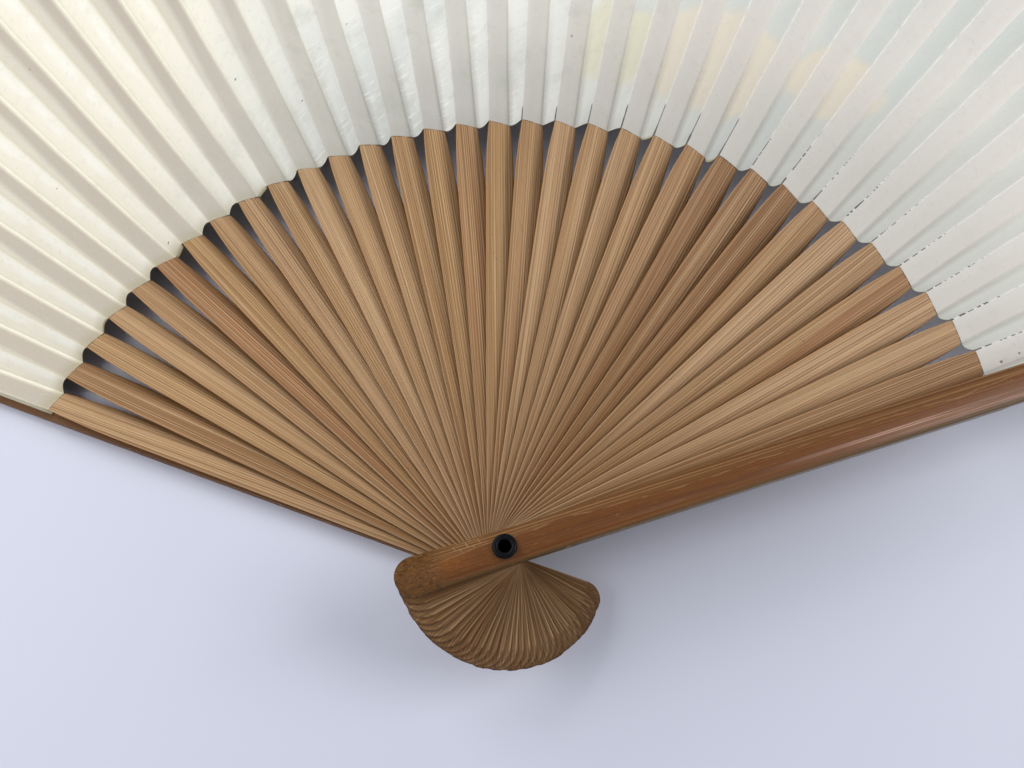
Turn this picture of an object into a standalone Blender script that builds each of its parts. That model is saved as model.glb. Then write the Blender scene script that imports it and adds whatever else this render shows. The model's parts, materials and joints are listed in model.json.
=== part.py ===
# A folding fan of bamboo sticks and a pleated leaf of double paper, open and lying on its rear guard.
# The rivet's axis is +Z through the origin, the table is z = 0, and the fan opens towards +Y.
# Every stick is drawn along +u with +v to its left, and is then turned about the rivet.
from collections import Counter
from math import asin, cos, pi, radians, sin, tan

import bmesh
import bpy
from mathutils import Matrix, Vector

MM = 0.001

# How the sticks are spread
RIB_COUNT = 33
RIB_PITCH = radians(4.31)
FIRST_PITCH = radians(0.30)  # the pleat next to the rear guard lies almost shut
LAST_PITCH = radians(3.84)
MIDDLE_RIB = 17  # this one points along +Y

# Lengths along a stick, from the rivet's axis
TAIL_LENGTH = 18.3 * MM
BLADE_LENGTH = 92.0 * MM  # to the leaf's lower edge
LEAF_HEIGHT = 118.0 * MM
SHOULDER_LENGTH = 18.0 * MM  # where the blade narrows towards the leaf
SLIP_SHORT_OF_EDGE = 15.0 * MM
LEAF_SEAM = 0.30 * MM  # between a blade's end and the leaf

# Ribs
RIB_THICKNESS = 0.42 * MM
STICK_GAP = 0.10 * MM
RIB_TAIL_WIDTH = 6.3 * MM
RIB_BLADE_WIDTH = 5.9 * MM
RIB_END_WIDTH = 4.24 * MM
RIB_TILT = radians(23.2)  # how far a rib leans over its neighbour at the leaf
SHOULDER_BEND_PLACE = 0.60  # share of the shoulder's length at its middle point
SHOULDER_BEND_DROP = 0.38  # share of its narrowing that is done by there
SHOULDER_STEP = 0.67 * MM  # how much the slip is set in on each side
SLIP_THICKNESS = 0.34 * MM
SLIP_TIP_WIDTH = 2.0 * MM

# Guards
GUARD_THICKNESS = 2.8 * MM
GUARD_GAP = 0.25 * MM
GUARD_TAIL_WIDTH = 6.4 * MM
GUARD_PIVOT_WIDTH = 5.7 * MM
GUARD_TIP_WIDTH = 7.2 * MM
GUARD_EDGE_DROP = 0.60 * MM  # the outer face is rounded off at its edges
GUARD_FLAT_SHARE = 0.5  # share of the width that stays flat
GUARD_RELIEF = 1.05 * MM  # most that the inner face leans away, to clear the tilted ribs
RECESS_LENGTH = 1.2 * MM  # slope down to the face that the leaf is glued to

# Rivet
RIVET_RADIUS = 1.60 * MM
RIVET_CLEARANCE = 0.08 * MM
HUB_WALL = 1.6 * MM  # a stick is flat from its hole to this far beyond it
RIM_RADIUS = 2.04 * MM
RIM_HEIGHT = 0.70 * MM
RIM_EDGE = 0.28 * MM  # the rim's outer side below its rolled top
RIM_GAP = 0.05 * MM
BORE_RADIUS = 1.00 * MM
HEAD_RADIUS = 2.04 * MM
HEAD_HEIGHT = 0.80 * MM
HEAD_CLEARANCE = 0.12 * MM

# Leaf
PAPER = 0.20 * MM  # one sheet with its glue
POCKET_CLEARANCE = 0.08 * MM
POCKET_SIDE_CLEARANCE = 0.15 * MM
SEGMENT_GAP = 0.15 * MM
GLUE_GAP = 0.18 * MM
GUARD_STRIP_WIDTH = 4.0 * MM  # paper that is glued to a guard
TURNED_FOLD_SHARE = 0.25  # of a free edge beside the first slip, where the turned panel joins on

# Facets
HOLE_SIDE_POINTS = 3  # hole corners between the hub's rows, on each side
TAIL_ROUND = radians(80)  # a tail is rounded off over almost a half circle
TIP_ROUND = radians(66)  # a guard's tip keeps a short straight end
ROUND_STEPS = 3
RIB_SPANS = 2
GUARD_SPANS = 5
RIM_STEPS = 6
RIVET_SIDES = 32
SHARP_ANGLE = radians(35)
MERGE_DISTANCE = 0.001 * MM

# Worked out from the sizes above
LEAF_END = BLADE_LENGTH + LEAF_HEIGHT
SLIP_END = LEAF_END - SLIP_SHORT_OF_EDGE
STICK_STEP = RIB_THICKNESS + STICK_GAP
LOWEST_RIB = GUARD_THICKNESS + GUARD_GAP + RIB_THICKNESS / 2
TOP_RIB = LOWEST_RIB + (RIB_COUNT - 1) * STICK_STEP
FRONT_GUARD_LOW = TOP_RIB + RIB_THICKNESS / 2 + GUARD_GAP
FRONT_GUARD_TOP = FRONT_GUARD_LOW + GUARD_THICKNESS
HOLE_RADIUS = RIVET_RADIUS + RIVET_CLEARANCE
HUB_HALF = HOLE_RADIUS + HUB_WALL
FOLD_ANGLE = asin(RIB_END_WIDTH / 2 / BLADE_LENGTH)  # from a rib's middle to the folds on its edges
SLIP_HALF = RIB_END_WIDTH / 2 - SHOULDER_STEP
BLADE_END = BLADE_LENGTH - LEAF_SEAM * 2 / 3
SLIP_START = BLADE_LENGTH - LEAF_SEAM / 6
LEAF_START = BLADE_LENGTH + LEAF_SEAM / 3
POCKET_HALF_HEIGHT = SLIP_THICKNESS / 2 + POCKET_CLEARANCE
POCKET_END = SLIP_END + POCKET_SIDE_CLEARANCE
TURNED_PANEL_DROP = POCKET_HALF_HEIGHT + PAPER + GLUE_GAP + PAPER  # from a rib's middle to the panel's middle
LEAF_RECESS = TURNED_PANEL_DROP + PAPER + GLUE_GAP - GUARD_GAP - RIB_THICKNESS / 2


def rib_angle(index):
    return pi / 2 + (MIDDLE_RIB - index) * RIB_PITCH


def rib_height(index):
    return LOWEST_RIB + (index - 1) * STICK_STEP


def lean(u):
    """Sideways slope of a stick at u: none at the rivet, most at the leaf, the other way in the tail."""
    share = (abs(u) - HUB_HALF) / (BLADE_LENGTH - HUB_HALF)
    slope = tan(RIB_TILT) * min(max(share, 0), 1)
    return slope if u > 0 else -slope


def between(place, points):
    """Straight-line value at a place from a rising list of (place, value)."""
    for (a, first), (b, second) in zip(points, points[1:]):
        if place <= b:
            return first + (second - first) * max(place - a, 0) / (b - a)
    return points[-1][1]


def round_end(width, start):
    """Steps of (distance from a stick's end, half width), out to where its sides run straight."""
    steps = []
    for step in range(ROUND_STEPS + 1):
        turn = start * (1 - step / ROUND_STEPS)
        steps.append((width / 2 * (1 - sin(turn) / sin(start)), width / 2 * cos(turn)))
    return steps


def tail_rows(width):
    """Rows of (u, half width) round the tail's end."""
    return [(-TAIL_LENGTH + back, half) for back, half in round_end(width, TAIL_ROUND)]


def rib_rows():
    blade = RIB_BLADE_WIDTH / 2
    end = RIB_END_WIDTH / 2
    shoulder = BLADE_END - SHOULDER_LENGTH
    span = (shoulder - HUB_HALF) / RIB_SPANS
    rows = tail_rows(RIB_TAIL_WIDTH)
    rows += [(-HUB_HALF, blade), (HUB_HALF, blade)]
    rows += [(HUB_HALF + span * (n + 1), blade) for n in range(RIB_SPANS)]
    rows.append((shoulder + SHOULDER_LENGTH * SHOULDER_BEND_PLACE, blade - (blade - end) * SHOULDER_BEND_DROP))
    rows += [(BLADE_END, end), (SLIP_START, SLIP_HALF), (SLIP_END, SLIP_TIP_WIDTH / 2)]
    return rows


def guard_rows():
    sides = [
        (-TAIL_LENGTH + GUARD_TAIL_WIDTH / 2, GUARD_TAIL_WIDTH / 2),
        (0, GUARD_PIVOT_WIDTH / 2),
        (LEAF_END, GUARD_TIP_WIDTH / 2),
    ]
    recess_end = BLADE_END - RECESS_LENGTH / 2
    span = (recess_end - RECESS_LENGTH - HUB_HALF) / GUARD_SPANS
    places = [-HUB_HALF, HUB_HALF]
    places += [HUB_HALF + span * (n + 1) for n in range(GUARD_SPANS)]
    places.append(recess_end)
    rows = tail_rows(GUARD_TAIL_WIDTH)
    rows += [(u, between(u, sides)) for u in places]
    rows += [(LEAF_END - back, half) for back, half in reversed(round_end(GUARD_TIP_WIDTH, TIP_ROUND))]
    return rows


def finished(name, mesh, material):
    bmesh.ops.recalc_face_normals(mesh, faces=mesh.faces[:])
    data = bpy.data.meshes.new(name)
    mesh.to_mesh(data)
    mesh.free()
    data.materials.append(material)
    return data


def plate(name, rows, columns, low, high, material):
    """A stick: a flat plan with the rivet's hole, extruded, then laid between the surfaces low and high.

    Every quad of the plan is split the same way, so faces laid over each other stay parallel.
    """
    mesh = bmesh.new()
    lines = [[mesh.verts.new((u, half * share, 0)) for share in columns] for u, half in rows]
    for near, far in zip(lines, lines[1:]):
        if near[0].co.x < 0 < far[0].co.x:
            hub_near, hub_far = near, far
            continue
        for i in range(len(columns) - 1):
            mesh.faces.new((near[i], far[i], far[i + 1]))
            mesh.faces.new((near[i], far[i + 1], near[i + 1]))
    shares = [(n + 1) / (HOLE_SIDE_POINTS + 1) for n in range(HOLE_SIDE_POINTS)]
    right = [mesh.verts.new(hub_near[0].co.lerp(hub_far[0].co, share)) for share in shares]
    left = [mesh.verts.new(hub_far[-1].co.lerp(hub_near[-1].co, share)) for share in shares]
    ring = hub_near[::-1] + right + hub_far + left
    widest = max(vert.co.angle(ring[i - 1].co) for i, vert in enumerate(ring))
    corner_radius = HOLE_RADIUS / cos(widest / 2)  # so that the hole's flats clear the rivet
    hole = [mesh.verts.new(vert.co.normalized() * corner_radius) for vert in ring]
    for i, vert in enumerate(ring):
        after = (i + 1) % len(ring)
        mesh.faces.new((vert, ring[after], hole[after]))
        mesh.faces.new((vert, hole[after], hole[i]))
    for vert in mesh.verts:
        vert.co.z = low(vert.co.x, vert.co.y)
    upper = bmesh.ops.extrude_face_region(mesh, geom=mesh.faces[:])
    for item in upper["geom"]:
        if isinstance(item, bmesh.types.BMVert):
            item.co.z = high(item.co.x, item.co.y)
    return finished(name, mesh, material)


def rib_mesh(material):
    """A rib whose own z = 0 is the middle of its thickness at the rivet."""

    def half_thickness(u):
        return (RIB_THICKNESS if u < LEAF_START - LEAF_SEAM / 2 else SLIP_THICKNESS) / 2

    return plate(
        "rib",
        rib_rows(),
        (-1, 0, 1),
        lambda u, v: lean(u) * v - half_thickness(u),
        lambda u, v: lean(u) * v + half_thickness(u),
        material,
    )


def guard_mesh(name, front, material):
    """A guard whose own z = 0 is its outer face, with +z towards the ribs.

    The rear guard's inner face leans down beside its right edge, the front guard's beside its left.
    """
    side = 1 if front else -1
    rows = guard_rows()
    recess_start = BLADE_END - RECESS_LENGTH

    def outer(u, v):
        share = abs(v) / between(u, rows)
        return GUARD_EDGE_DROP * max(share - GUARD_FLAT_SHARE, 0) / (1 - GUARD_FLAT_SHARE)

    def inner(u, v):
        recess = LEAF_RECESS if u > recess_start else 0
        return GUARD_THICKNESS - recess - min(max(side * lean(u) * v, 0), GUARD_RELIEF)

    if front:
        low, high = (lambda u, v: -inner(u, v)), (lambda u, v: -outer(u, v))
    else:
        low, high = outer, inner
    columns = (-1, -GUARD_FLAT_SHARE, 0, GUARD_FLAT_SHARE, 1)
    return plate(name, rows, columns, low, high, material)


def on_rib(step, u, v, lift):
    """A point beside the rib that is step places after the leaf segment's first one."""
    x, y, z = Matrix.Rotation(-step * RIB_PITCH, 3, "Z") @ Vector((u, v, 0))
    return Vector((x, y, z + step * STICK_STEP + lean(u) * v + lift))


def slip_half(r):
    return between(r, [(SLIP_START, SLIP_HALF), (SLIP_END, SLIP_TIP_WIDTH / 2)])


def pocket_half(r):
    return slip_half(r) + POCKET_SIDE_CLEARANCE


def post(point, half):
    """Both faces of the paper, top and bottom, where point(r) is the middle."""
    up = Vector((0, 0, half))
    return lambda r: (point(r) + up, point(r) - up)


def fold(step, side):
    return post(lambda r: on_rib(step, r * cos(FOLD_ANGLE), side * r * sin(FOLD_ANGLE), 0), PAPER)


def pocket_edge(step, side):
    def across(r):
        return side * (pocket_half(r) + r * sin(FOLD_ANGLE)) / 2

    return post(lambda r: on_rib(step, r, across(r), 0), POCKET_HALF_HEIGHT + PAPER)


def segment_end(step):
    """Where a segment stops, just short of the next segment's first fold."""

    def point(r):
        valley = on_rib(step, r * cos(FOLD_ANGLE), -r * sin(FOLD_ANGLE), 0)
        ridge = on_rib(step + 1, r * cos(FOLD_ANGLE), r * sin(FOLD_ANGLE), 0)
        return ridge + (valley - ridge).normalized() * SEGMENT_GAP

    return post(point, PAPER)


def on_front_guard(step, v):
    """Paper glued under the front guard, beside the last rib."""

    def point(r):
        inner = FRONT_GUARD_LOW - TOP_RIB + LEAF_RECESS + max(lean(r) * v, 0)
        x, y, z = Matrix.Rotation(-step * RIB_PITCH - LAST_PITCH, 3, "Z") @ Vector((r, v, 0))
        return Vector((x, y, step * STICK_STEP + inner - GLUE_GAP - PAPER))

    return post(point, PAPER)


def turned_panel(share):
    """The first panel, folded back between the first rib and the rear guard it is glued to."""

    def across(r):
        ridge = r * sin(FOLD_ANGLE)
        return ridge + (-GUARD_STRIP_WIDTH / 2 - ridge) * share(r)

    return post(lambda r: on_rib(0, r * cos(FOLD_ANGLE), across(r), -TURNED_PANEL_DROP), PAPER)


def first_ridge(r):
    """Where the turned panel joins on: how far from the first rib's middle line."""
    ridge = r * sin(FOLD_ANGLE)
    return ridge + (pocket_half(r) - ridge) * TURNED_FOLD_SHARE


def turned_share(r):
    """Share of the turned panel's width that the closed end of its fold takes."""
    ridge = r * sin(FOLD_ANGLE)
    return (ridge - first_ridge(r)) / (ridge + GUARD_STRIP_WIDTH / 2)


def strip(first, second):
    return ((first, 0), (second, 0), (second, 1), (first, 1))


def leaf_section(ribs, is_first, is_last):
    """Posts and cells of a segment's section, and the cells that a rib's slip runs through."""
    posts, cells, pockets = [], [], {}

    def add(*new, joined=True):
        for item in new:
            posts.append(item)
            if joined and len(posts) > 1:
                cells.append(strip(len(posts) - 2, len(posts) - 1))

    for step in range(ribs):
        add(fold(step, 1))
        if is_first and step == 0:
            add(post(lambda r: on_rib(0, r * cos(FOLD_ANGLE), first_ridge(r), 0), PAPER))
        add(pocket_edge(step, 1), pocket_edge(step, -1))
        pockets[cells[-1]] = step
        add(fold(step, -1))
    if is_last:
        add(*(on_front_guard(ribs - 1, GUARD_STRIP_WIDTH / 2 * side) for side in (1, 0, -1)))
    else:
        add(segment_end(ribs - 1))
    if is_first:
        turned = len(posts)
        add(turned_panel(lambda r: 0), joined=False)
        add(turned_panel(turned_share), turned_panel(lambda r: 1))
        cells.append(((0, 1), (1, 1), (turned + 1, 0), (turned, 0)))
    return posts, cells, pockets


def leaf_mesh(name, ribs, is_first, is_last, material):
    """A segment of the leaf: its section swept from the lower edge to the outer edge, with slip pockets."""
    posts, cells, pockets = leaf_section(ribs, is_first, is_last)
    mesh = bmesh.new()
    near = [[mesh.verts.new(point) for point in place(LEAF_START)] for place in posts]
    far = [[mesh.verts.new(point) for point in place(LEAF_END)] for place in posts]
    walls = Counter()
    for cell in cells:
        walls.update(tuple(sorted(edge)) for edge in zip(cell, cell[1:] + cell[:1]))
        mesh.faces.new([far[i][k] for i, k in cell])
        mouth = [near[i][k] for i, k in cell]
        if cell in pockets:
            add_pocket(mesh, mouth, pockets[cell])
        else:
            mesh.faces.new(mouth)
    for (a, b), times in walls.items():
        if times == 1:
            mesh.faces.new((near[a[0]][a[1]], near[b[0]][b[1]], far[b[0]][b[1]], far[a[0]][a[1]]))
    return finished(name, mesh, material)


def add_pocket(mesh, mouth, step):
    """The blind hollow between the two sheets that a rib's slip fills."""

    def corners(r):
        sides = ((1, 1), (-1, 1), (-1, -1), (1, -1))
        return [on_rib(step, r, side * pocket_half(r), up * POCKET_HALF_HEIGHT) for side, up in sides]

    start = [mesh.verts.new(corner) for corner in corners(LEAF_START)]
    end = [mesh.verts.new(corner) for corner in corners(POCKET_END)]
    for i in range(4):
        after = (i + 1) % 4
        mesh.faces.new((mouth[i], mouth[after], start[after], start[i]))
        mesh.faces.new((start[i], start[after], end[after], end[i]))
    mesh.faces.new(end)


def turned_mesh(name, profile, material):
    """A solid of revolution about +Z from (radius, height) points, both ends on the axis."""
    mesh = bmesh.new()
    verts = [mesh.verts.new((radius, 0, height)) for radius, height in profile]
    edges = [mesh.edges.new(pair) for pair in zip(verts, verts[1:])]
    bmesh.ops.spin(
        mesh, geom=verts + edges, cent=(0, 0, 0), axis=(0, 0, 1), angle=2 * pi, steps=RIVET_SIDES, use_merge=True
    )
    bmesh.ops.remove_doubles(mesh, verts=mesh.verts[:], dist=MERGE_DISTANCE)
    data = finished(name, mesh, material)
    data.shade_smooth()
    data.set_sharp_from_angle(angle=SHARP_ANGLE)
    return data


def rivet_mesh(material):
    """A tube with a flat closed head set flush in the rear guard and a rim rolled over the front guard."""
    rim_low = FRONT_GUARD_TOP + RIM_GAP
    rim_middle = (RIM_RADIUS + BORE_RADIUS) / 2
    rim_half = (RIM_RADIUS - BORE_RADIUS) / 2
    profile = [(0, 0), (HEAD_RADIUS, 0), (HEAD_RADIUS, HEAD_HEIGHT), (RIVET_RADIUS, HEAD_HEIGHT)]
    profile += [(RIVET_RADIUS, rim_low), (RIM_RADIUS, rim_low)]
    for step in range(RIM_STEPS + 1):
        turn = pi * step / RIM_STEPS
        rolled = RIM_EDGE + (RIM_HEIGHT - RIM_EDGE) * sin(turn)
        profile.append((rim_middle + rim_half * cos(turn), rim_low + rolled))
    profile += [(BORE_RADIUS, HEAD_HEIGHT), (0, HEAD_HEIGHT)]
    return turned_mesh("eyelet_rivet", profile, material)


def finish(name, color, roughness, metallic=0.0):
    material = bpy.data.materials.new(name)
    material.use_nodes = True
    shader = material.node_tree.nodes["Principled BSDF"]
    shader.inputs["Base Color"].default_value = (*color, 1)
    shader.inputs["Roughness"].default_value = roughness
    shader.inputs["Metallic"].default_value = metallic
    material.diffuse_color = (*color, 1)
    return material


def place(name, data, turn=0.0, height=0.0, parent=None):
    obj = bpy.data.objects.new(name, data)
    obj.location.z = height
    obj.rotation_euler.z = turn
    obj.parent = parent
    bpy.context.scene.collection.objects.link(obj)
    return obj


def cut_head_seat(guard, parent):
    """The counterbore in the rear guard that the rivet's back head lies in."""
    mesh = bmesh.new()
    depth = HEAD_HEIGHT + HEAD_CLEARANCE
    bmesh.ops.create_cone(
        mesh,
        cap_ends=True,
        segments=RIVET_SIDES,
        radius1=HEAD_RADIUS + HEAD_CLEARANCE,
        radius2=HEAD_RADIUS + HEAD_CLEARANCE,
        depth=2 * depth,
    )
    data = bpy.data.meshes.new("head_seat_cutter")
    mesh.to_mesh(data)
    mesh.free()
    cutter = place("head_seat_cutter", data, parent=parent)
    cutter.hide_render = True
    cutter.display_type = "WIRE"
    cut = guard.modifiers.new("head seat", "BOOLEAN")
    cut.operation = "DIFFERENCE"
    cut.solver = "EXACT"
    cut.object = cutter


def build():
    for obj in list(bpy.data.objects):
        bpy.data.objects.remove(obj)
    bamboo = finish("bamboo", (0.47, 0.27, 0.12), 0.55)
    smoked = finish("smoked bamboo", (0.38, 0.15, 0.05), 0.32)
    paper = finish("cream paper", (0.76, 0.75, 0.66), 0.85)
    plastic = finish("black plastic", (0.010, 0.012, 0.018), 0.25)

    axis = place("rivet_axis", None)
    rear = place("rear_guard", guard_mesh("rear_guard", False, smoked), rib_angle(1) + FIRST_PITCH, parent=axis)
    cut_head_seat(rear, axis)
    place("eyelet_rivet", rivet_mesh(plastic), parent=axis)
    rib = rib_mesh(bamboo)
    for index in range(1, RIB_COUNT + 1):
        place(f"rib_{index:02d}", rib, rib_angle(index), rib_height(index), axis)
    front = guard_mesh("front_guard", True, smoked)
    place("front_guard", front, rib_angle(RIB_COUNT) - LAST_PITCH, FRONT_GUARD_TOP, axis)

    shapes = {}
    for index in range(1, RIB_COUNT + 1, 2):
        ribs = min(2, RIB_COUNT + 1 - index)
        shape = (ribs, index == 1, index + ribs > RIB_COUNT)
        if shape not in shapes:
            shapes[shape] = leaf_mesh("leaf", *shape, paper)
        place(f"leaf_{(index + 1) // 2:02d}", shapes[shape], rib_angle(index), rib_height(index), axis)


build()
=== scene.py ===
import json
import random
from math import cos, exp, hypot, pi, radians, sin, tan

import bmesh
import bpy
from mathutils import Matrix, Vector


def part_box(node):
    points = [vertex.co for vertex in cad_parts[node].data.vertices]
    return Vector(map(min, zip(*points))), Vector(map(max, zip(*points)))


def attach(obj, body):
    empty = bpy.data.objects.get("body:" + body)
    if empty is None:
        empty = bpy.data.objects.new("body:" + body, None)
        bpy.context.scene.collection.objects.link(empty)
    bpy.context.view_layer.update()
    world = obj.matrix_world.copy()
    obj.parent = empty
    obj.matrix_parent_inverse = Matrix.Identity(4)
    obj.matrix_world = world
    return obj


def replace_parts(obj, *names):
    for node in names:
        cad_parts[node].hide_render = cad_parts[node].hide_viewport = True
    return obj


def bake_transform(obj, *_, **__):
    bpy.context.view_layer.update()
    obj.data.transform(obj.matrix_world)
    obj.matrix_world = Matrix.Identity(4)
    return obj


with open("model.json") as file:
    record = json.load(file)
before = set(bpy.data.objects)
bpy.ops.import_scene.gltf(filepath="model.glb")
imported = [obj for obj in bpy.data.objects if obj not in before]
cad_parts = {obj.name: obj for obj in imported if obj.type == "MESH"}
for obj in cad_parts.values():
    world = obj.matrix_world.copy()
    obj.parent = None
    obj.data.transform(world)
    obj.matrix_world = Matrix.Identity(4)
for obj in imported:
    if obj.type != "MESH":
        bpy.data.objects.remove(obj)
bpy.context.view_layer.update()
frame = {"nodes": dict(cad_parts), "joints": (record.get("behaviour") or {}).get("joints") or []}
mm = 0.001
scene = bpy.context.scene
print("frame loaded:", len(frame["nodes"]), "nodes")


# where the sticks lie, read from the frame

ribCount = 33
middleRib = 17  # points straight up the picture
hubHalf = 3.28 * mm  # every stick runs straight for this far on both sides of the rivet
holeRadius = 1.7 * mm
tailTurn = radians(80)  # a tail is rounded through this angle on each side and flat between
leafStart = 92.1 * mm
leafEnd = 210 * mm
leanEnd = 92 * mm  # from the hub out to here a rib tilts to its full sideways slope
fullLean = tan(radians(23.2))
leanDepth = 1.05 * mm  # how far a guard is hollowed for the slope of the stick beside it

# a joint's upper limit is how far it can still close, so it is also how far its pleat is open now
pitch = [radians(joint["range_deg"][1]) for joint in frame["joints"]]
ribAngle = {middleRib: pi / 2}
for index in range(middleRib - 1, 0, -1):
    ribAngle[index] = ribAngle[index + 1] + pitch[index]
for index in range(middleRib + 1, ribCount + 1):
    ribAngle[index] = ribAngle[index - 1] - pitch[index - 1]
rearAngle = ribAngle[1] + pitch[0]
frontAngle = ribAngle[ribCount] - pitch[ribCount]


def ribName(index):
    return f"rib_{index:02d}"


def middleHeight(node):
    low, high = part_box(node)
    return (low.z + high.z) / 2


ribHeight = {index: middleHeight(ribName(index)) for index in range(1, ribCount + 1)}


def lean(u):
    share = (abs(u) - hubHalf) / (leanEnd - hubHalf)
    slope = fullLean * min(max(share, 0), 1)
    return slope if u > 0 else -slope


def onStick(angle, height, u, v, z=0.0):
    return Vector((u * cos(angle) - v * sin(angle), u * sin(angle) + v * cos(angle), height + z))


def between(place, points):
    for (a, first), (b, second) in zip(points, points[1:]):
        if place <= b:
            return first + (second - first) * max(place - a, 0) / (b - a)
    return points[-1][1]


def eased(share):
    share = min(max(share, 0), 1)
    return share * share * (3 - 2 * share)


# meshes

def withGrain(data, seed):
    # where each point lies on its own stick in mm, and a number that differs from stick to stick
    grain = data.attributes.new("grain", "FLOAT_VECTOR", "POINT")
    for vert, item in zip(data.vertices, grain.data):
        item.vector = (vert.co.x / mm, vert.co.y / mm, seed)
    return data


def smoothMesh(name, mesh, sharpFrom=40):
    bmesh.ops.recalc_face_normals(mesh, faces=mesh.faces[:])
    data = bpy.data.meshes.new(name)
    mesh.to_mesh(data)
    mesh.free()
    data.shade_smooth()
    data.set_sharp_from_angle(angle=radians(sharpFrom))
    return data


def roundEnd(width, start, steps):
    # (distance from the end, half width) out to where the sides run straight
    turns = [start * (1 - step / steps) for step in range(steps + 1)]
    return [(width / 2 * (1 - sin(turn) / sin(start)), width / 2 * cos(turn)) for turn in turns]


def stickMesh(name, rows, columns, low, high, edge):
    # rows of (u, half width, middle) laid between two surfaces, with the rivet's hole and softened edges
    mesh = bmesh.new()
    lines = []
    for u, half, middle in rows:
        lines.append([mesh.verts.new((u, middle + half * share, 0)) for share in columns])
    for near, far in zip(lines, lines[1:]):
        if near[0].co.x < 0 < far[0].co.x:
            hubNear, hubFar = near, far
            continue
        for i in range(len(columns) - 1):
            mesh.faces.new((near[i], far[i], far[i + 1], near[i + 1]))
    shares = (0.2, 0.4, 0.6, 0.8)
    right = [mesh.verts.new(hubNear[0].co.lerp(hubFar[0].co, share)) for share in shares]
    left = [mesh.verts.new(hubFar[-1].co.lerp(hubNear[-1].co, share)) for share in shares]
    ring = hubNear[::-1] + right + hubFar + left
    hole = [mesh.verts.new(vert.co.normalized() * holeRadius) for vert in ring]
    for i, vert in enumerate(ring):
        after = (i + 1) % len(ring)
        mesh.faces.new((vert, ring[after], hole[after], hole[i]))
    for vert in mesh.verts:
        vert.co.z = low(vert.co.x, vert.co.y)
    for item in bmesh.ops.extrude_face_region(mesh, geom=mesh.faces[:])["geom"]:
        if isinstance(item, bmesh.types.BMVert):
            item.co.z = high(item.co.x, item.co.y)
    bmesh.ops.recalc_face_normals(mesh, faces=mesh.faces[:])

    def outerRim(line):
        # where a flat side meets an upright one, away from the hole
        flat = sorted(abs(face.normal.z) > 0.6 for face in line.link_faces)
        return flat == [False, True] and max(hypot(v.co.x, v.co.y) for v in line.verts) > holeRadius * 1.2

    rim = [line for line in mesh.edges if outerRim(line)]
    bmesh.ops.bevel(
        mesh, geom=rim, offset=edge, segments=2, profile=0.5, affect="EDGES", clamp_overlap=True
    )
    return smoothMesh(name, mesh)


def sheetMesh(name, rows, free):
    # a thin closed sheet from rows of (top point, low point, numbers for the shader)
    mesh = bmesh.new()
    layer = {}
    tops = [[mesh.verts.new(top) for top, low, mark in row] for row in rows]
    lows = [[mesh.verts.new(low) for top, low, mark in row] for row in rows]
    for row, top, low in zip(rows, tops, lows):
        for item, a, b in zip(row, top, low):
            layer[a] = layer[b] = item[2]

    def cover(grid, turned):
        for near, far in zip(grid, grid[1:]):
            for i in range(len(far) - 1):
                face = [near[i], near[i + 1], far[i + 1], far[i]]
                mesh.faces.new(face[::-1] if turned else face)

    cover(tops, False)
    cover(lows, True)
    rims = [(tops[0], lows[0]), (tops[-1][::-1], lows[-1][::-1])]
    rims.append(([row[0] for row in tops][::-1], [row[0] for row in lows][::-1]))
    rims.append(([row[-1] for row in tops], [row[-1] for row in lows]))
    for upper, lower in rims:
        for i in range(len(upper) - 1):
            mesh.faces.new((upper[i], lower[i], lower[i + 1], upper[i + 1]))
    mesh.verts.index_update()
    marks = [layer[vert] for vert in mesh.verts]
    below = {vert for row in lows for vert in row}
    under = [float(vert in below) for vert in mesh.verts]
    data = smoothMesh(name, mesh, 30)
    for kind in ("fold", "place"):
        data.attributes.new(kind, "FLOAT_VECTOR", "POINT")
    for kind in ("free", "under"):
        data.attributes.new(kind, "FLOAT", "POINT")
    places = [vert.co / mm for vert in data.vertices]
    data.attributes["fold"].data.foreach_set("vector", [number for mark in marks for number in mark])
    data.attributes["place"].data.foreach_set("vector", [number for spot in places for number in spot])
    data.attributes["free"].data.foreach_set("value", [free] * len(places))
    data.attributes["under"].data.foreach_set("value", under)
    return data


def added(name, data, material, angle=0.0, height=0.0):
    obj = bpy.data.objects.new(name, data)
    obj.rotation_euler.z = angle
    obj.location.z = height
    data.materials.append(material)
    scene.collection.objects.link(obj)
    return obj


# shader sums

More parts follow.
